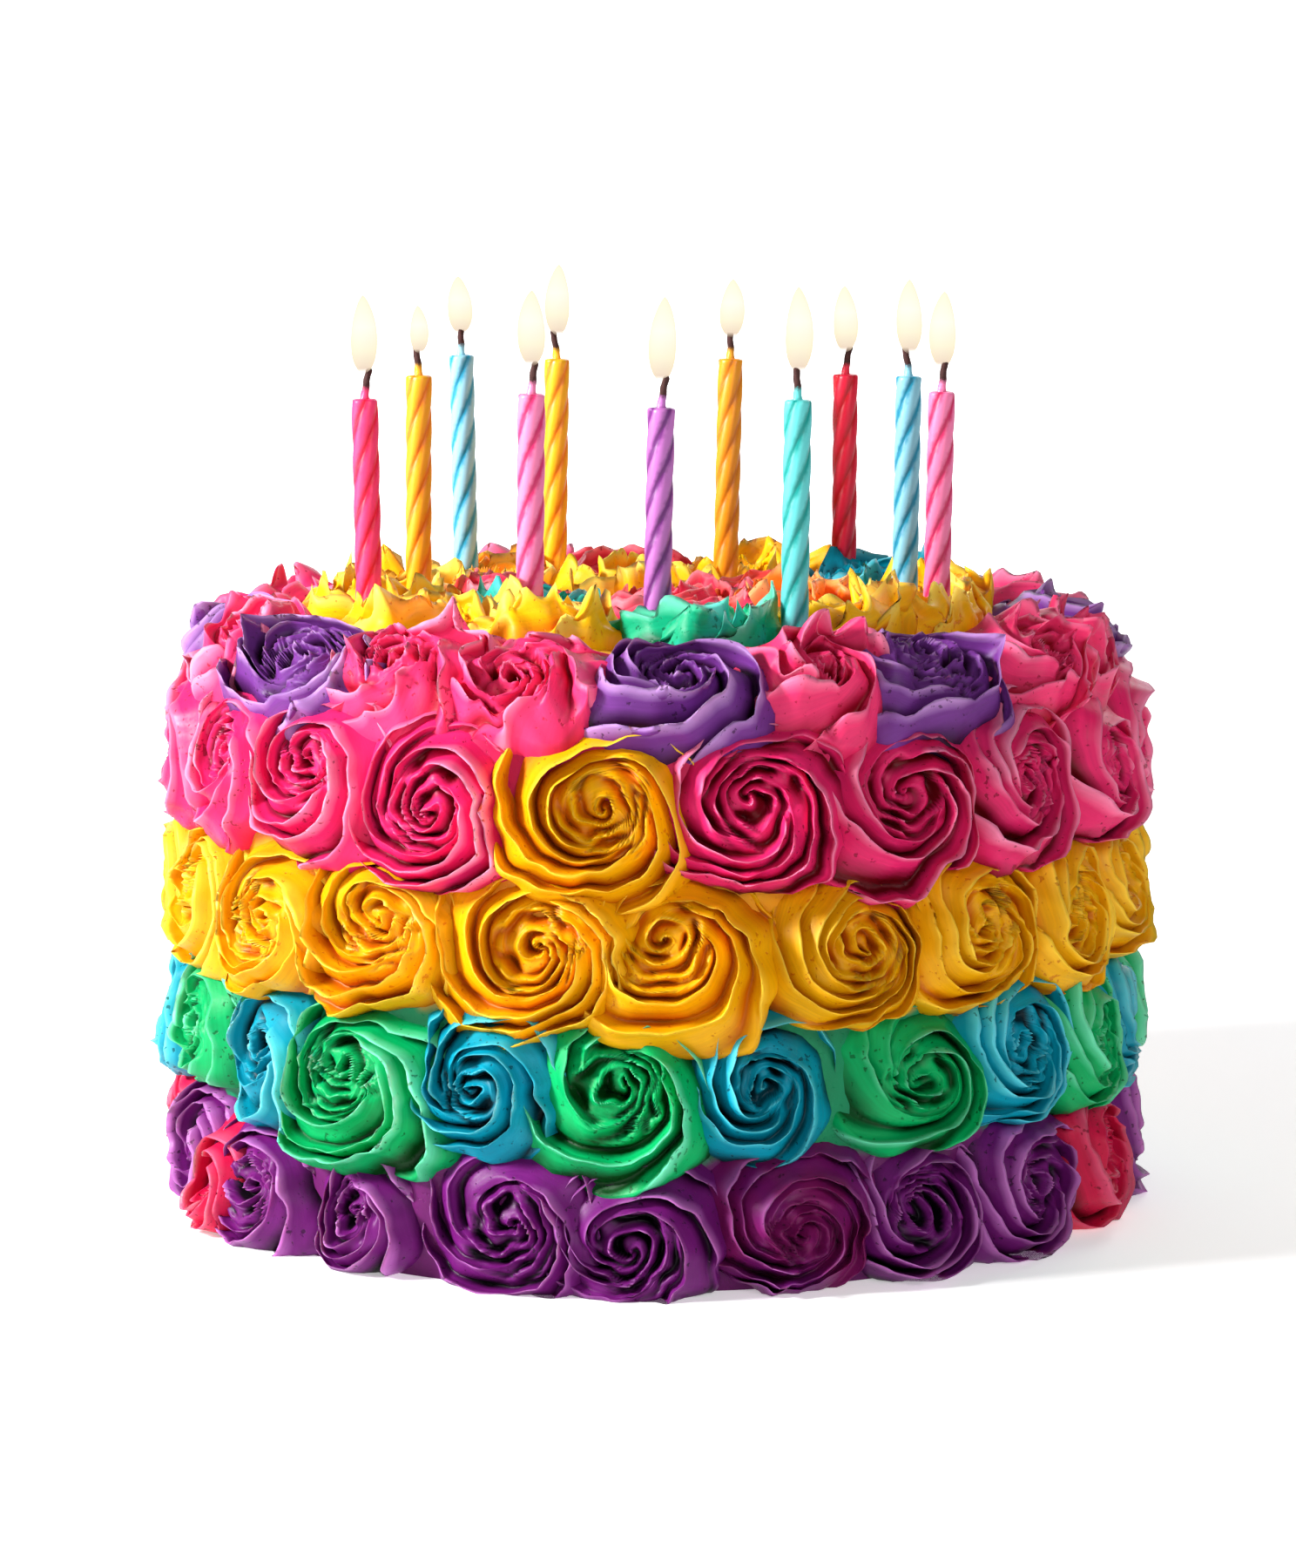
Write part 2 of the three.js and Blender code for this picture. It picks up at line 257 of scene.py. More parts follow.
def buttercream(name, edge, body, groove_shade, stain=None):
    """One dyed batch of buttercream: the edge colour is a painted highlight on the ribbon edges, the
    body and stain colours are the cream's own, and the third colour is painted shade in the grooves.
    """
    material, tree, shader = new_material(name)
    look = tree.nodes.new("ShaderNodeGroup")
    look.node_tree = BUTTERCREAM
    for key, colour in (("EdgeHighlight", edge), ("Body", body), ("GrooveShade", groove_shade), ("Stain", stain or body)):
        look.inputs[key].default_value = linear(*colour)
    tree.links.new(look.outputs["Color"], shader.inputs["Base Color"])
    tree.links.new(look.outputs["Roughness"], shader.inputs["Roughness"])
    bump = node(tree, "ShaderNodeBump", Height=look.outputs["Height"], Strength=0.5,
                Distance=FINE_BUMP)
    tree.links.new(bump.outputs[0], shader.inputs["Normal"])
    shader.inputs["Specular IOR Level"].default_value = 0.18
    shader.inputs["Subsurface Weight"].default_value = 0.12
    shader.inputs["Subsurface Radius"].default_value = (1.0, 0.6, 0.4)
    shader.inputs["Subsurface Scale"].default_value = 1.5 * MM
    return material


def coat_profile():
    """The coat's outline: up the side, round the shoulder and in over the top."""
    outside = DRUM_RADIUS + COAT_THICKNESS
    side = [(outside, COAT_SIDE_TOP * i / COAT_RINGS) for i in range(COAT_RINGS)]
    corner = []
    for i in range(CORNER_STEPS + 1):
        turn = i / CORNER_STEPS * math.pi / 2
        corner.append((outside - SHOULDER * (1 - math.cos(turn)),
                       DRUM_TOP - SHOULDER * (1 - math.sin(turn)) + COAT_LIFT))
    top = [((outside - SHOULDER) * (1 - i / TOP_STEPS), DRUM_TOP + COAT_LIFT)
           for i in range(1, TOP_STEPS)]
    return [(0, 0)] + side + corner + top + [(0, DRUM_TOP + COAT_LIFT)]


coat = spun_solid(coat_profile(), COAT_COLUMNS)
place = points_of(coat)
swell = COAT_SWELL * ripple(place, 3, 16 * MM) + 0.5 * COAT_SWELL * ripple(place, 4, 6 * MM)
out = np.hypot(place[:, 0], place[:, 1])
raised = place[:, 2] > DRUM_TOP
place[:, 2] += np.where(raised, swell, 0)
grow = np.where((out > DRUM_RADIUS) & (place[:, 2] > 0.1 * MM), swell, 0) / np.maximum(out, MM)
place[:, 0] *= 1 + grow
place[:, 1] *= 1 + grow
coat.vertices.foreach_set("co", place.ravel())
set_value(coat, "ridge", np.clip(0.35 + swell / COAT_SWELL * 0.2, 0, 1))
set_value(coat, "lane", np.full(len(place), 0.5))
set_value(coat, "stain", np.zeros(len(place)))
set_value(coat, "tone", np.zeros(len(place)))

# The smeared coat takes the colour of the row over it: each band starts at a height in mm.
COAT_BANDS = [
    (0, (100, 24, 92)),
    (27, (12, 128, 84)),
    (56, (214, 142, 8)),
    (86, (186, 30, 82)),
    (116, (206, 48, 96)),
    (124, (240, 176, 20)),
]
BAND_SPAN = 150
BAND_BLUR = 1.5
BAND_WAVER = 14 * MM
coat_cream = buttercream("base_coat_cream", (250, 200, 90), (214, 142, 8), (150, 70, 10))
tree = coat_cream.node_tree
where = tree.nodes.new("ShaderNodeTexCoord").outputs["Object"]
height = node(tree, "ShaderNodeSeparateXYZ", Vector=where).outputs["Z"]
waver = node(tree, "ShaderNodeTexNoise", Vector=where, Scale=60.0, Detail=3.0).outputs["Fac"]
waver = sum_of(tree, "MULTIPLY", sum_of(tree, "SUBTRACT", waver, 0.5), BAND_WAVER)
level = sum_of(tree, "DIVIDE", sum_of(tree, "ADD", height, waver), BAND_SPAN * MM)
bands = node(tree, "ShaderNodeValToRGB", Fac=level)
bands.color_ramp.interpolation = "EASE"
while len(bands.color_ramp.elements) > 1:
    bands.color_ramp.elements.remove(bands.color_ramp.elements[0])
band_ends = [start - BAND_BLUR for start, _ in COAT_BANDS[1:]] + [BAND_SPAN]
for (start, colour), end in zip(COAT_BANDS, band_ends):
    for at in (start + BAND_BLUR, end):
        bands.color_ramp.elements.new(at / BAND_SPAN).color = linear(*colour)
bands.color_ramp.elements.remove(bands.color_ramp.elements[-1])
look = next(n for n in tree.nodes if n.type == "GROUP")
for key in ("EdgeHighlight", "Body", "GrooveShade"):
    tree.links.new(bands.outputs[0], look.inputs[key])
add_piece("base_coat", coat, coat_cream, ["drum"])

# Bottom row: purple and rose buttercream rosettes, piped first, at the foot of the cake. Each is
# piped in one go from a star nozzle, from the middle out to the rim, so its ribbons stand up as
# thin-edged petals. All the other rows use the same rosette.
ARMS_COLUMNS = 80
FRONT_RADII = [*np.linspace(0, 0.34, 20), *np.linspace(0.3565, 0.94, 34), 0.96, 0.98, 0.993, 1]
BACK_RADII = [0.98, 0]
RADII = np.array(FRONT_RADII + BACK_RADII)
VALLEY = 0.7  # how far across a ribbon the deepest place lies, from its edge
GAP_WIDTH = 0.07
GAP_IN_BUD = 0.12
BUD_PITCH = 2.9 * MM
BUD_RELIEF = 1.7 * MM
HOLE_RADIUS = 2 * MM
TAIL_STARTS = 0.94
EDGE_LEAN = 0.5 * MM
BACK_DEPTH = 1 * MM


def ribbon_profile(across):
    """A ribbon's height, from 1 at its thin edge down to -1 in the valley and up to the next edge."""
    down = np.clip(across / VALLEY, 0, 1)
    up = np.clip((across - VALLEY) / (1 - VALLEY), 0, 1)
    near = np.maximum(1 - down, up)
    return 2 * (0.68 * near ** 1.25 + 0.32 * near ** 6) - 1


# A closed disc whose vertices know their ring, as height, and their column, as angle.
GRID = spun_solid([(radius, -k) for k, radius in enumerate(RADII)], ARMS_COLUMNS)
GRID_POINTS = points_of(GRID)
GRID_RING = np.rint(-GRID_POINTS[:, 2]).astype(int)
GRID_COLUMN = np.rint(np.arctan2(GRID_POINTS[:, 1], GRID_POINTS[:, 0]) / (2 * math.pi) * ARMS_COLUMNS)
GRID_COLUMN = GRID_COLUMN.astype(int) % ARMS_COLUMNS


def piped(seed, width, tall, depth, arms=5, turns=1.6, relief=2.35 * MM, recess=2.5 * MM, tail=0.26,
          flicks=0, flick=3 * MM, square=3, rim=0.5, ruffle=0.15 * MM, frill=0.5 * MM,
          frill_length=7 * MM, tuck=0.0):
    """One piped swirl, facing +Z with +Y up: its points, how near each is to a ribbon's edge or to the
    valley between ribbons, which the icing uses for painted highlight and painted shade, and how far
    each is across its ribbon."""
    rng = np.random.default_rng(seed)
    rho = RADII[GRID_RING]
    front = GRID_RING < len(FRONT_RADII)
    per_arm = ARMS_COLUMNS // arms
    arm = GRID_COLUMN // per_arm
    following = (arm + 1) % arms
    across = GRID_COLUMN % per_arm / per_arm
    across = across - 0.08 * np.sin(2 * math.pi * across)

    # The ribbons narrow and widen as they wind, and stop at the folded bud in the middle.
    phase = rng.uniform(0, 2 * math.pi, arms)
    offset = rng.uniform(-0.14, 0.14, arms)
    drift = rng.uniform(0.22, 0.34) * np.sin(6 * rho[:, None] + phase) + offset
    which = np.arange(len(rho))
    spread = drift[which, arm] * (1 - across) + drift[which, following] * across
    swirl = -np.log(0.25 + 0.75 * np.hypot(rho, 0.22)) / -math.log(0.25)
    angle = rng.uniform(0, 2 * math.pi) + (arm + across + spread) * 2 * math.pi / arms
    angle += 2 * math.pi * turns * swirl
    flat = np.column_stack((rho * width / 2 * np.cos(angle), rho * tall / 2 * np.sin(angle)))
    middle = flat - rng.uniform(-2.2, 2.2, 2) * MM
    bud_rho = np.hypot(*middle.T) / (rng.uniform(0.38, 0.5) * width / 2)
    in_bud = np.exp(-(bud_rho ** 8))

    # Ribbons stand up to thin edges with valleys between, some proud and some nearly flat.
    strong = rng.uniform(0.5, 1.35, arms)
    strong = strong[arm] * (1 - across) + strong[following] * across
    strong += 0.35 * ripple(flat, seed + 5, 13 * MM)
    gap = np.exp(-(((across - VALLEY) / GAP_WIDTH) ** 2)) * rng.uniform(0.2, 1, arms)[arm]
    ribbon = ribbon_profile(across) - gap
    size = relief * strong * np.interp(rho, [0, 0.3, 0.5, 0.8, 0.93, 1], [0.7, 0.8, 1, 1.2, 1, 0.6])

    # The bud is one or two narrow strips curled up loosely round a hole, partly pushed down.
    middle = middle + 0.9 * MM * np.column_stack((ripple(flat, seed + 11, 7 * MM),
                                                  ripple(flat, seed + 12, 7 * MM)))
    heading = np.arctan2(middle[:, 1], middle[:, 0])
    lopsided = 1 + 0.38 * np.cos(heading - rng.uniform(0, 2 * math.pi))
    strips = rng.choice([1, 1, 2])
    strip = np.hypot(*middle.T) * lopsided / BUD_PITCH + strips * heading / (2 * math.pi)
    strip = (strip + rng.uniform()) % 1
    hole = rng.uniform(0.2, 2.2) * MM * np.exp(-((np.hypot(*middle.T) / HOLE_RADIUS) ** 2))
    open_fold = np.clip(0.9 + 0.8 * ripple(flat, seed + 13, 6 * MM), 0.15, 1.5)
    bud_gap = 0.7 * np.exp(-(((strip - VALLEY) / GAP_IN_BUD) ** 2))
    fold = (ribbon_profile(strip) - bud_gap) * open_fold
    height = (1 - in_bud) * size * ribbon + in_bud * BUD_RELIEF * fold
    height -= hole

    # The rim is a spiral too: it grows round the rosette and steps back at the tail.
    round_rim = (angle - rng.uniform(0, 2 * math.pi)) / (2 * math.pi) % 1
    round_rim = np.where(round_rim < TAIL_STARTS, round_rim / TAIL_STARTS,
                         (1 - round_rim) / (1 - TAIL_STARTS))
    corner = (np.abs(np.cos(angle)) ** square + np.abs(np.sin(angle)) ** square) ** (-1 / square)
    rim_points = np.column_stack((np.cos(angle), np.sin(angle))) * width / 2
    wavy = tail * (round_rim - 0.5) + 0.05 * ripple(rim_points, seed + 7, 8 * MM)
    reach = rho * (1 + (corner - 1) * rho ** 3) * (1 + wavy * rho ** 2)
    lean = np.clip(ribbon, -0.7, 1) * np.clip(rho / 0.3, 0, 1) * (1 - in_bud)
    reach = reach - np.where(front, lean * EDGE_LEAN / (0.5 * width), 0)
    aside = rng.uniform(-2.8, 2.8, 2) * MM + [0, 0.6 * MM]
    x = reach * width / 2 * np.cos(angle) + aside[0] * (1 - rho ** 2)
    y = reach * tall / 2 * np.sin(angle) + aside[1] * (1 - rho ** 2)

    # It is domed, rounds over at the rim, and lies unevenly against its neighbours.
    dome = 1 - (1 - rim) * rho ** 3.2
    dome *= np.sqrt(np.clip((1 - rho ** 30) / (1 - 0.94 ** 30), 0, 1))
    z = depth * dome + height - recess * in_bud * (1 - 0.5 * bud_rho ** 2)
    z += 0.8 * MM * ripple(flat, seed + 1, 17 * MM) * np.clip(rho * 3, 0, 1)
    z += ruffle * ripple(flat, seed + 2, 8 * MM)
    z -= tuck * np.clip(2 * y / tall, 0, 1) ** 3
    z += x * rng.uniform(-0.14, 0.14) + y * rng.uniform(-0.26, -0.06)
    x = x + 0.9 * MM * ripple(flat, seed + 3, 30 * MM) + ruffle * ripple(flat, seed + 8, 8 * MM)
    y = y + 0.9 * MM * ripple(flat, seed + 4, 30 * MM) + ruffle * ripple(flat, seed + 9, 8 * MM)

    # The thin edges are frilled: they wander sideways and rise and fall.
    thin = (np.clip(ribbon + 1, 0, 2) / 2) ** 2 * (1 - 0.6 * in_bud) * np.clip(rho / 0.2, 0, 1)
    z += frill * thin * (0.4 + ripple(flat, seed + 14, frill_length))
    x = x + 0.6 * frill * thin * ripple(flat, seed + 15, frill_length)
    y = y + 0.6 * frill * thin * ripple(flat, seed + 16, frill_length)

    # Flicks are left where the nozzle drags a ribbon's edge away as it is pulled off.
    for _ in range(flicks):
        crest, at = rng.integers(arms), rng.uniform(0.35, 0.96)
        from_crest = np.where(arm == crest, across, np.where(following == crest, 1 - across, 1))
        pull = np.exp(-((from_crest / 0.17) ** 2) - np.abs((rho - at) / 0.035) ** 1.4)
        pull *= rng.uniform(0.5, 1.2)
        z += flick * pull
        x += flick * 0.6 * pull * np.cos(angle)
        y += flick * 0.6 * pull * np.sin(angle)
    z = np.where(front, z, -BACK_DEPTH)

    # ridge is where the icing paints highlight, near 1 at the edges, and shade, near 0 in the valleys.
    ridge = 0.5 + 0.5 * ((1 - in_bud) * ribbon * np.clip(strong, 0.4, 1.2) + in_bud * (fold - 0.25))
    lane = 1 - np.abs(2 * across - 1)
    return np.column_stack((x, y, z)), np.clip(ridge, 0, 1), lane


def laid(points, angle, radius, height, lean=0.0, across=math.inf, along=math.inf):
    """Bends a swirl to the cake's curve and lays it where its middle meets the cake."""
    turn, tilt = math.radians(angle), math.radians(lean)
    outward = np.array([math.sin(turn), -math.cos(turn), 0])
    side = np.array([math.cos(turn), math.sin(turn), 0])
    up = np.array([0, 0, 1])
    facing = outward * math.cos(tilt) + up * math.sin(tilt)
    rise = up * math.cos(tilt) - outward * math.sin(tilt)
    x, y, z = points.T
    z = z - x ** 2 / (2 * across) - y ** 2 / (2 * along)
    middle = outward * radius + up * height
    return middle + np.outer(x, side) + np.outer(y, rise) + np.outer(z, facing)


def cream_piece(name, swirls, material, nodes):
    """All the swirls of one colour in a row as one piece: (points, ridge, lane, tone, stain) each."""
    bm = bmesh.new()
    for _ in swirls:
        bm.from_mesh(GRID)
    mesh = bpy.data.meshes.new(name)
    bm.to_mesh(mesh)
    bm.free()
    mesh.vertices.foreach_set("co", np.concatenate([s[0] for s in swirls]).ravel())
    set_value(mesh, "ridge", np.concatenate([s[1] for s in swirls]))
    set_value(mesh, "lane", np.concatenate([s[2] for s in swirls]))
    set_value(mesh, "tone", np.concatenate([np.full(len(s[0]), s[3]) for s in swirls]))
    set_value(mesh, "stain", np.concatenate([np.full(len(s[0]), s[4]) for s in swirls]))
    return add_piece(name, mesh, material, nodes)


# Each cream's colours: a pale painted highlight for the ribbon edges, the cream's own colour, a dark
# painted shade for the grooves, and an optional stain colour.
PURPLE = buttercream("purple_cream", (200, 118, 198), (104, 20, 104), (8, 0, 10), (112, 16, 82))
ROSE = buttercream("rose_cream", (236, 92, 132), (204, 16, 68), (96, 0, 14))
ROSETTE_DEPTH = 12 * MM
ROW_OVERLAP = 1.25
TUCK = 2.5 * MM  # how far a rosette's upper edge goes back under the row above


def side_row(seed, count, turn, height, tall, sizes=None, drops=None):
    """A row of rosettes round the side, each with its points, ridge, lane, tone and stain. sizes and
    drops change some rosettes' width and height (in mm)."""
    row = []
    rng = np.random.default_rng(seed)
    width = 2 * math.pi * (DRUM_RADIUS + 0.5 * ROSETTE_DEPTH) / count * ROW_OVERLAP
    for n in range(count):
        size = (sizes or {}).get(n, rng.uniform(0.92, 1.08))
        points, ridge, lane = piped(seed * 100 + n, width * size, tall * (0.5 + 0.5 * size),
                                    ROSETTE_DEPTH * rng.uniform(0.88, 1.06),
                                    arms=int(rng.choice([4, 5, 5])), turns=rng.uniform(1.4, 1.8),
                                    tuck=TUCK)
        angle = turn + n * 360 / count + rng.uniform(-1, 1)
        drop = (drops or {}).get(n, rng.uniform(-1.8, 1.8)) * MM
        points = laid(points, angle, DRUM_RADIUS, height - drop, across=DRUM_RADIUS)
        row.append([points, ridge, lane, rng.uniform(-0.06, 0.06), 0.0])
    return row


bottom = side_row(11, 21, -1.4, 14.5 * MM, 34 * MM, sizes={0: 1.08, 1: 1.02, 19: 0.72, 20: 1.08},
                  drops={19: 3})
BOTTOM_ROSE = (4, 9, 16, 21)
PLUM, STAIN = 1, 4
bottom[PLUM][STAIN] = 0.5
# A small red wedge fills a gap between two purple rosettes, and the whole row is level underneath.
wedge = piped(1199, 19 * MM, 26 * MM, 12.5 * MM, arms=4)
bottom.append([laid(wedge[0], -61, DRUM_RADIUS + 2 * MM, 11 * MM), wedge[1], wedge[2], 0.0, 0.0])
for swirl in bottom:
    swirl[0][:, 2] = np.maximum(swirl[0][:, 2], 0)
cream_piece("bottom_rosettes_purple", [s for n, s in enumerate(bottom) if n not in BOTTOM_ROSE],
            PURPLE, ["bottom_row"])
cream_piece("bottom_rosettes_rose", [bottom[n] for n in BOTTOM_ROSE], ROSE,
            ["bottom_row"])

# Second row: green and teal buttercream rosettes in turn, piped with the same star nozzle over the
# upper edge of the purple row, so that they hang over it a little.
GREEN = buttercream("green_cream", (116, 230, 186), (0, 162, 90), (0, 58, 14))
TEAL = buttercream("teal_cream", (96, 218, 230), (0, 140, 164), (0, 30, 40))
second = side_row(12, 22, -3.3, 42.5 * MM, 35 * MM, sizes={0: 1.18, 20: 1.22, 21: 0.98},
                  drops={0: 2, 20: 4})
cream_piece("second_rosettes_green", second[0::2], GREEN, ["green_teal_row"])
cream_piece("second_rosettes_teal", second[1::2], TEAL, ["green_teal_row"])

# Third row: yellow buttercream rosettes, piped with the same nozzle. Their lower edges hang over
# the green and teal row.
YELLOW = buttercream("yellow_cream", (255, 210, 60), (222, 160, 0), (190, 96, 0))
third = side_row(13, 20, 4.2, 70.5 * MM, 36 * MM, sizes={19: 1.16})
cream_piece("third_rosettes_yellow", third, YELLOW, ["yellow_row"])

# Fourth row: pink buttercream rosettes, piped with the same nozzle, with one yellow one at the
# front that is larger and hangs down into the yellow row.
PINK = buttercream("pink_cream", (246, 148, 184), (212, 32, 98), (96, 0, 14))
fourth = side_row(14, 20, -7, 99.5 * MM, 37 * MM, sizes={0: 1.12, 18: 1.05, 2: 1.0},
                  drops={0: 2, 19: 0.5, 1: 1.5})
cream_piece("fourth_rosettes_pink", fourth[1:], PINK, ["pink_row"])
cream_piece("fourth_rosette_yellow", fourth[:1], YELLOW, ["pink_row"])

# Border: swirls of pink and violet buttercream on the cake's rounded shoulder, where they lean
# back. The nozzle was pulled away quickly, which left ruffled edges and flicked points.
BORDER_COUNT = 20
BORDER_TURN = 2
BORDER_LEAN = 50
BORDER_VIOLET = (0, 2)  # of each five
BORDER_SIZES = {0: 1.14, 2: 1.2, 17: 1.34}
VIOLET = buttercream("violet_cream", (192, 146, 206), (106, 46, 128), (38, 2, 38))
BORDER_PINK = buttercream("border_pink_cream", (248, 150, 184), (228, 50, 106), (150, 0, 28))
BORDER_TALL = 32 * MM
BORDER_OVERLAP = 1.3
tilt = math.radians(BORDER_LEAN)
border_radius = DRUM_RADIUS - SHOULDER * (1 - math.cos(tilt))
border_height = DRUM_TOP - SHOULDER * (1 - math.sin(tilt)) - 2 * MM
border_width = 2 * math.pi * border_radius / BORDER_COUNT * BORDER_OVERLAP
VIOLET_STYLE = dict(turns=1.5, ruffle=0.3 * MM, frill=0.8 * MM, flicks=4)
PINK_STYLE = dict(turns=1.0, ruffle=1.0 * MM, frill=1.8 * MM, flicks=8)
border = []
rng = np.random.default_rng(15)
for n in range(BORDER_COUNT):
    size = BORDER_SIZES.get(n, rng.uniform(0.95, 1.08))
    style = VIOLET_STYLE if n % 5 in BORDER_VIOLET else PINK_STYLE
    points, ridge, lane = piped(1500 + n, border_width * size, BORDER_TALL, ROSETTE_DEPTH,
                                relief=2 * MM, frill_length=10 * MM, **style)
    points = laid(points, BORDER_TURN + n * 360 / BORDER_COUNT + rng.uniform(-1, 1), border_radius,
                  border_height, BORDER_LEAN, border_radius / math.cos(tilt), SHOULDER)
    border.append([points, ridge, lane, rng.uniform(-0.06, 0.06), 0.0])
cream_piece("border_purple", [s for n, s in enumerate(border) if n % 5 in BORDER_VIOLET], VIOLET,
            ["border_row"])
cream_piece("border_pink", [s for n, s in enumerate(border) if n % 5 not in BORDER_VIOLET],
            BORDER_PINK, ["border_row"])

# Top: open swirls of buttercream in all the colours, piped side by side to fill the middle of the
# cake, with peaks where the nozzle was pulled up.
TOP_TURN = 8
TOP_DEPTH = 6.5 * MM
TOP_RINGS = [(12, 57.5 * MM, 40 * MM), (6, 28.5 * MM, 37 * MM), (1, 0, 35 * MM)]
TOP_COLOURS = ["green", "yellow", "yellow", "yellow", "teal", "yellow", "pink", "yellow", "yellow",
               "yellow", "yellow", "yellow", "pink", "orange", "pink", "yellow", "pink", "green",
               "pink"]
TOP_YELLOW = buttercream("top_yellow_cream", (255, 230, 110), (250, 188, 8), (222, 116, 0),
                         (246, 130, 30))
TOP_GREEN = buttercream("top_green_cream", (130, 232, 200), (10, 168, 118), (0, 84, 50),
                        (40, 176, 190))
TOP_PINK = buttercream("top_pink_cream", (252, 150, 160), (232, 44, 80), (160, 0, 28),
                       (240, 84, 50))
ORANGE = buttercream("orange_cream", (255, 190, 120), (246, 112, 24), (196, 40, 6),
                     (236, 50, 70))
CREAMS = {
    "green": (TOP_GREEN, "green_cream"),
    "teal": (TEAL, "teal_cream"),
    "yellow": (TOP_YELLOW, "top_cream"),
    "pink": (TOP_PINK, "pink_cream"),
    "orange": (ORANGE, "orange_cream"),
}
top = {colour: [] for colour in CREAMS}
rng = np.random.default_rng(16)
colours = iter(TOP_COLOURS)
for count, radius, width in TOP_RINGS:
    for n in range(count):
        colour = next(colours)
        points, ridge, lane = piped(1600 + 20 * count + n, width, width, TOP_DEPTH, turns=1.1,
                                    relief=1.7 * MM, recess=0.5 * MM, square=2, ruffle=0.9 * MM,
                                    frill=(1 if colour == "pink" else 3) * MM,
                                    flicks=2 if colour == "pink" else 6)
        points = laid(points, TOP_TURN + n * 360 / count, radius, DRUM_TOP, 90)
        top[colour].append([points, ridge, lane, rng.uniform(-0.06, 0.06), rng.uniform(0.2, 0.5)])
for colour, swirls in top.items():
    cream, slot = CREAMS[colour]
    cream_piece(f"top_swirls_{colour}", swirls, cream, ["top_swirls"])

# Candles: thin coloured wax, cast with four ribs that twist up it and a rounded top edge. They are
# pushed foot first into the icing, so each leans a little its own way.
CANDLES = {
    "hot_pink": ("hot_pink_wax", (248, 60, 120), (232, 8, 62)),
    "yellow_left": ("yellow_wax", (252, 178, 14), (240, 132, 2)),
    "blue_left": ("blue_wax", (152, 210, 228), (24, 150, 186)),
    "pink_left": ("pink_wax", (240, 130, 176), (206, 36, 102)),
    "yellow_back": ("yellow_wax", (254, 190, 16), (242, 142, 2)),
    "lavender": ("lavender_wax", (190, 110, 188), (112, 36, 120)),
    "gold": ("yellow_wax", (238, 160, 16), (216, 128, 0)),
    "turquoise": ("turquoise_wax", (96, 206, 204), (4, 150, 142)),
    "red": ("red_wax", (230, 16, 60), (204, 0, 30)),
    "blue_right": ("blue_wax", (134, 200, 218), (6, 136, 168)),
    "pink_right": ("pink_wax", (240, 126, 172), (202, 34, 94)),
}
CANDLE_RADIUS = 2.9 * MM
RIBS = 4
RIB_DEPTH = 0.42 * MM
RIB_PITCH = 38 * MM
CANDLE_SIDES = 64
CANDLE_RINGS = 60
WICK_HOLE = 1.5 * MM
# The rounded top edge and the small hollow round the wick: share of the radius, depth in mm.
CANDLE_TOP = [(1, 0.5), (0.96, 0.25), (0.86, 0.08), (0.7, 0), (0.45, 0.1), (0.32, 0.6), (0.3, 1.4)]


def candle_axis(name):
    """The wick stands on the candle's axis, so the middles of both give the foot and the lean."""
    points = points_of(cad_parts["candle_" + name].data)
    low = points[points[:, 2] < points[:, 2].min() + 1 * MM].mean(0)
    high = points[points[:, 2] > points[:, 2].max() - 1 * MM].mean(0)
    return low, high


def clouded(tree, value, noise, share):
    """A value made uneven by some share of a noise."""
    uneven = sum_of(tree, "MULTIPLY", sum_of(tree, "SUBTRACT", noise, 0.5), share)
    return sum_of(tree, "ADD", value, uneven)


def wax(name, light, dark):
    """A candle's wax, light on its ribs and dark between them."""
    material, tree, shader = new_material(name)
    where = tree.nodes.new("ShaderNodeTexCoord").outputs["Object"]
    cloud = node(tree, "ShaderNodeTexNoise", Vector=where, Scale=700.0, Detail=3.0).outputs["Fac"]
    shade = ramp_of(tree, clouded(tree, stored(tree, "rib"), cloud, 0.5), 0.4, 0.88)
    tree.links.new(mix_colour(tree, shade, linear(*dark), linear(*light)),
                   shader.inputs["Base Color"])
    tree.links.new(ramp_of(tree, cloud, 0.0, 1.0, 0.28, 0.5), shader.inputs["Roughness"])
    bump = node(tree, "ShaderNodeBump", Height=cloud, Strength=0.3, Distance=0.1 * MM)
    tree.links.new(bump.outputs[0], shader.inputs["Normal"])
    shader.inputs["Subsurface Weight"].default_value = 0.25
    shader.inputs["Subsurface Radius"].default_value = (1.0, 0.7, 0.6)
    shader.inputs["Subsurface Scale"].default_value = 2 * MM
    return material


def along_axis(points, low, high):
    """Moves points made on the Z axis, with the foot at the origin, on to a candle's own axis."""
    way = (high - low) / np.linalg.norm(high - low)
    side = np.cross([0, 1, 0], way)
    side /= np.linalg.norm(side)
    x, y, z = points.T
    return low + np.outer(x, side) + np.outer(y, np.cross(way, side)) + np.outer(z, way)


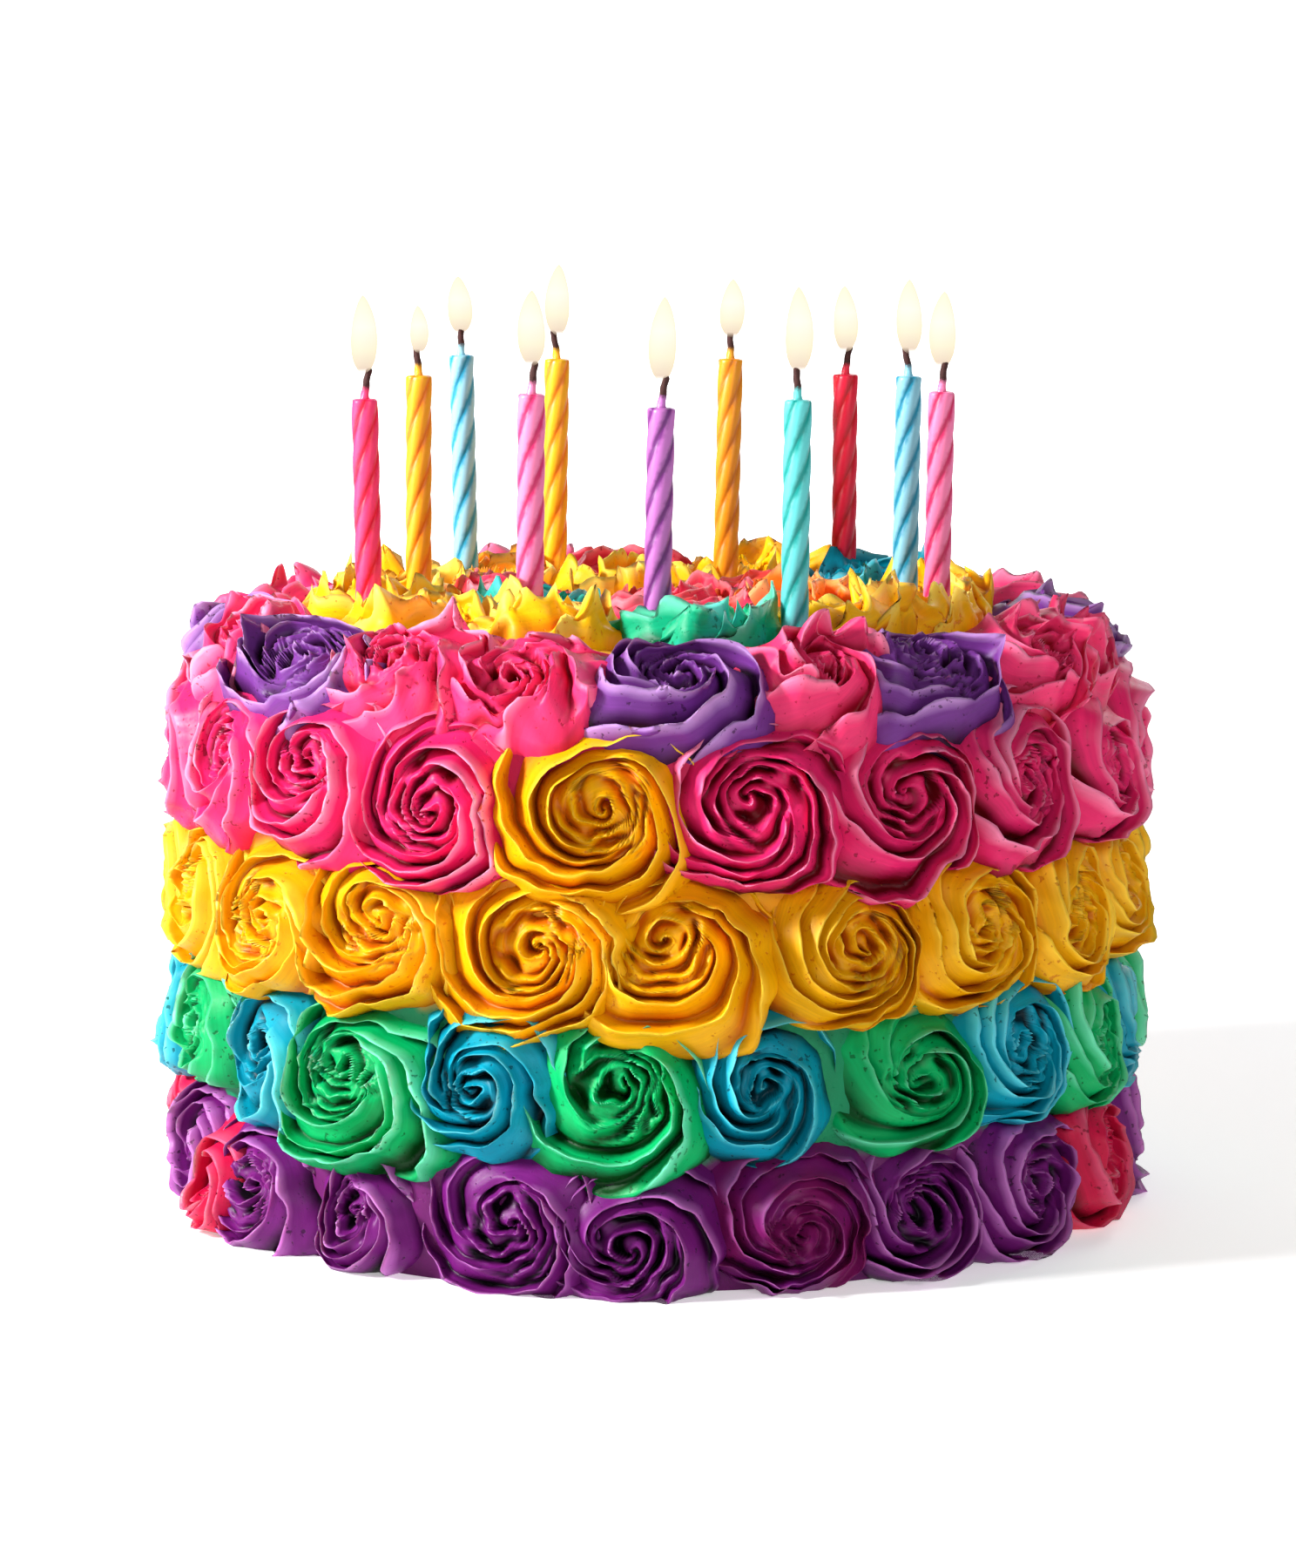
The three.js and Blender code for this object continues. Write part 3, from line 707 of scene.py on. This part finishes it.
for index, (name, (slot, light, dark)) in enumerate(CANDLES.items()):
    low, high = candle_axis(name)
    length = float(np.linalg.norm(high - low))
    rings = [(CANDLE_RADIUS, length * i / CANDLE_RINGS) for i in range(CANDLE_RINGS)]
    edge = [(CANDLE_RADIUS * share, length - down * MM) for share, down in CANDLE_TOP]
    mesh = spun_solid([(0, 0)] + rings + edge + [(0, length - WICK_HOLE)], CANDLE_SIDES)
    points = points_of(mesh)
    distance = np.hypot(points[:, 0], points[:, 1])
    around = np.arctan2(points[:, 1], points[:, 0])
    rib = np.abs(np.cos(RIBS * around / 2 + index)) ** 0.7
    twist = around + 2 * math.pi * points[:, 2] / RIB_PITCH
    reach = distance - RIB_DEPTH * (1 - rib) * distance / CANDLE_RADIUS
    points = np.column_stack((reach * np.cos(twist), reach * np.sin(twist), points[:, 2]))
    mesh.vertices.foreach_set("co", along_axis(points, low, high).ravel())
    set_value(mesh, "rib", rib)
    add_piece(f"wax_{name}", mesh, wax(f"{name}_candle_wax", light, dark), [f"candle_{name}"])

# Wicks: braided cotton cast into the middle of each candle, soaked in its coloured wax at the foot
# and charred where it burns. They curl over a little as they burn.
WICK_RADIUS = 0.75 * MM
WICK_RISE = 6.6 * MM
WICK_SUNK = 1.6 * MM
WICK_CURL = 0.18
WICK_RINGS = 14
WICK_SIDES = 12
WICK_TURN = 2.4  # each curls its own way


def wick_material(name, colour):
    """Cotton in the candle's colour at the foot and black at the end."""
    material, tree, shader = new_material(name)
    where = tree.nodes.new("ShaderNodeTexCoord").outputs["Object"]
    fibre = node(tree, "ShaderNodeTexNoise", Vector=where, Scale=2600.0, Detail=3.0).outputs["Fac"]
    burnt = ramp_of(tree, clouded(tree, stored(tree, "burnt"), fibre, 0.3), 0.18, 0.45)
    charred = mix_colour(tree, fibre, linear(22, 10, 12), linear(86, 44, 40))
    tree.links.new(mix_colour(tree, burnt, linear(*colour), charred), shader.inputs["Base Color"])
    tree.links.new(ramp_of(tree, burnt, 0.0, 1.0, 0.35, 0.9), shader.inputs["Roughness"])
    bump = node(tree, "ShaderNodeBump", Height=fibre, Strength=0.6, Distance=0.15 * MM)
    tree.links.new(bump.outputs[0], shader.inputs["Normal"])
    return material


for index, (name, (slot, light, dark)) in enumerate(CANDLES.items()):
    low, high = candle_axis(name)
    length = float(np.linalg.norm(high - low))
    rings = [(WICK_RADIUS * (0.95 + 0.7 * (1 - i / WICK_RINGS) ** 3), i) for i in range(WICK_RINGS)]
    tip = [(WICK_RADIUS * 0.6, WICK_RINGS - 0.3), (0, WICK_RINGS)]
    mesh = spun_solid([(0, 0)] + rings + tip, WICK_SIDES)
    points = points_of(mesh)
    up = points[:, 2] / WICK_RINGS
    bend = up ** 2 * WICK_RISE * WICK_CURL
    heading = index * WICK_TURN
    lumps = 1 + 0.12 * np.sin(5 * up * math.pi + 3 * np.arctan2(points[:, 1], points[:, 0]))
    points = np.column_stack((points[:, 0] * lumps + bend * math.cos(heading),
                              points[:, 1] * lumps + bend * math.sin(heading),
                              length - WICK_SUNK + up * (WICK_RISE + WICK_SUNK)))
    mesh.vertices.foreach_set("co", along_axis(points, low, high).ravel())
    set_value(mesh, "burnt", np.clip((up - 0.3) / 0.5, 0, 1))
    add_piece(f"cotton_{name}", mesh, wick_material(f"{name}_wick", light), [f"wick_{name}"])

# Flames: burning wax vapour, which stands as a pale teardrop round the charred end of each wick and
# is dim and nearly clear at its foot. The flames are part of the look only, not of the solids.
FLAME_WIDTH = 5.7 * MM
FLAME_SIDES = 32
FLAME_SWAY = 0.35 * MM
SHORT_FLAME = 11  # mm tall, and less than this is narrower too
NARROW = 0.72
FLAMES = {"hot_pink": (5.2, 16.8), "yellow_left": (4.8, 10.4), "blue_left": (4.8, 13.2),
          "pink_left": (5.6, 15.4), "yellow_back": (5.2, 16.4), "lavender": (5.2, 17.4),
          "gold": (4.8, 13.2), "turquoise": (5.4, 17.4), "red": (5.0, 15.2), "blue_right": (4.8, 16.2),
          "pink_right": (5.0, 16.2)}  # how far each starts above the wax, and how tall it is
FLAME_PROFILE = [(0, 0), (0.2, 0.008), (0.4, 0.035), (0.62, 0.09), (0.82, 0.17), (0.95, 0.27),
                 (1, 0.38), (0.99, 0.48), (0.93, 0.59), (0.81, 0.7), (0.64, 0.8), (0.44, 0.89),
                 (0.22, 0.96), (0, 1)]

burning, tree, shader = new_material("candle_flame")
rise = stored(tree, "rise")
glow = node(tree, "ShaderNodeValToRGB", Fac=rise)
ramp = glow.color_ramp
ramp.elements[0].color = (0.6, 0.42, 0.36, 1)
ramp.elements[1].position = 1.0
ramp.elements[1].color = (1.0, 0.97, 0.72, 1)
for at, colour in ((0.1, (0.9, 0.74, 0.58, 1)), (0.3, (1.0, 0.93, 0.7, 1)),
                   (0.6, (1.0, 1.0, 0.88, 1))):
    ramp.elements.new(at).color = colour
rim = node(tree, "ShaderNodeLayerWeight", Blend=0.15)
tree.links.new(mix_colour(tree, rim.outputs["Facing"], glow.outputs[0], (1.0, 0.84, 0.46, 1)),
               shader.inputs["Emission Color"])
shader.inputs["Base Color"].default_value = (0.02, 0.02, 0.02, 1)
shader.inputs["Specular IOR Level"].default_value = 0.0
shader.inputs["Emission Strength"].default_value = 1.0
shader.inputs["Roughness"].default_value = 1.0
tree.links.new(ramp_of(tree, rise, 0.0, 0.09), shader.inputs["Alpha"])

for index, (name, (start, tall)) in enumerate(FLAMES.items()):
    low, high = candle_axis(name)
    length = float(np.linalg.norm(high - low))
    mesh = spun_solid(FLAME_PROFILE, FLAME_SIDES)
    points = points_of(mesh)
    up = points[:, 2].copy()
    width = FLAME_WIDTH / 2 * (1 if tall > SHORT_FLAME else NARROW)
    sway = FLAME_SWAY * np.sin(3 * up + index) * up
    points = np.column_stack((points[:, 0] * width + sway, points[:, 1] * width,
                              length + (start + up * tall) * MM))
    mesh.vertices.foreach_set("co", along_axis(points, low, high).ravel())
    set_value(mesh, "rise", up)
    add_piece(f"flame_{name}", mesh, burning, [])

# Stage: a white table before a lit white wall, with soft daylight from a window at the left and a
# little from the front and the back. The camera stands a little above the cake.
TABLE_SIZE = 1.3
TABLE_GLOW = 0.4
WALL_SIZE = 0.7
WALL_PLACE = (0, 1.3, 0.3)


def flat_sheet(name, size, turn=0.0):
    """A flat square, size from its middle to a side, turned up about X."""
    bm = bmesh.new()
    bmesh.ops.create_grid(bm, x_segments=1, y_segments=1, size=size)
    bmesh.ops.rotate(bm, verts=bm.verts, cent=(0, 0, 0), matrix=Matrix.Rotation(turn, 3, "X"))
    mesh = bpy.data.meshes.new(name)
    bm.to_mesh(mesh)
    bm.free()
    made = bpy.data.objects.new(name, mesh)
    bpy.context.scene.collection.objects.link(made)
    return made


table = flat_sheet("table", TABLE_SIZE)
white, tree, shader = new_material("white_table")
shader.inputs["Base Color"].default_value = (0.9, 0.9, 0.9, 1)
shader.inputs["Roughness"].default_value = 0.8
shader.inputs["Emission Color"].default_value = (1, 1, 1, 1)
shader.inputs["Emission Strength"].default_value = TABLE_GLOW
table.data.materials.append(white)
table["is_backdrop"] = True

wall = flat_sheet("wall", WALL_SIZE, math.pi / 2)
wall.location = WALL_PLACE
lit, tree, shader = new_material("lit_wall")
shader.inputs["Emission Color"].default_value = (1, 1, 1, 1)
shader.inputs["Emission Strength"].default_value = 1.0
wall.data.materials.append(lit)
wall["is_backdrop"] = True

# The sky is white to look at but gives only a little light.
SKY_LIGHT = 0.15
LIGHTS_AIM = Vector((0, 0, 0.08))
world = bpy.data.worlds.new("daylight")
bpy.context.scene.world = world
world.use_nodes = True
tree = world.node_tree
tree.nodes["Background"].inputs["Color"].default_value = (1, 1, 1, 1)
seen = tree.nodes.new("ShaderNodeLightPath").outputs["Is Camera Ray"]
tree.links.new(sum_of(tree, "MAXIMUM", seen, SKY_LIGHT), tree.nodes["Background"].inputs["Strength"])


def soft_light(name, at, size, power):
    lamp = bpy.data.lights.new(name, "AREA")
    lamp.shape = "DISK"
    lamp.size = size
    lamp.energy = power
    made = bpy.data.objects.new(name, lamp)
    made.location = at
    made.rotation_euler = (LIGHTS_AIM - Vector(at)).to_track_quat("-Z", "Y").to_euler()
    bpy.context.scene.collection.objects.link(made)


soft_light("window_left", (-1.2, -0.42, 0.66), 0.3, 40)
soft_light("window_front", (0.5, -1.15, 0.65), 0.4, 5)
soft_light("window_back", (0.6, 0.9, 0.9), 0.6, 4)

camera = bpy.data.objects.new("camera", bpy.data.cameras.new("camera"))
bpy.context.scene.collection.objects.link(camera)
CAMERA_PLACE = Vector((-0.0012, -0.9316, 0.2243))
CAMERA_AIM = Vector((-0.0012, 0, 0.0885))
camera.location = CAMERA_PLACE
camera.rotation_euler = (CAMERA_AIM - CAMERA_PLACE).to_track_quat("-Z", "Y").to_euler()
camera.data.lens = 97.9
camera.data.sensor_width = 36
bpy.context.scene.camera = camera
bpy.context.scene.view_settings.view_transform = "Standard"

low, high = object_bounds()
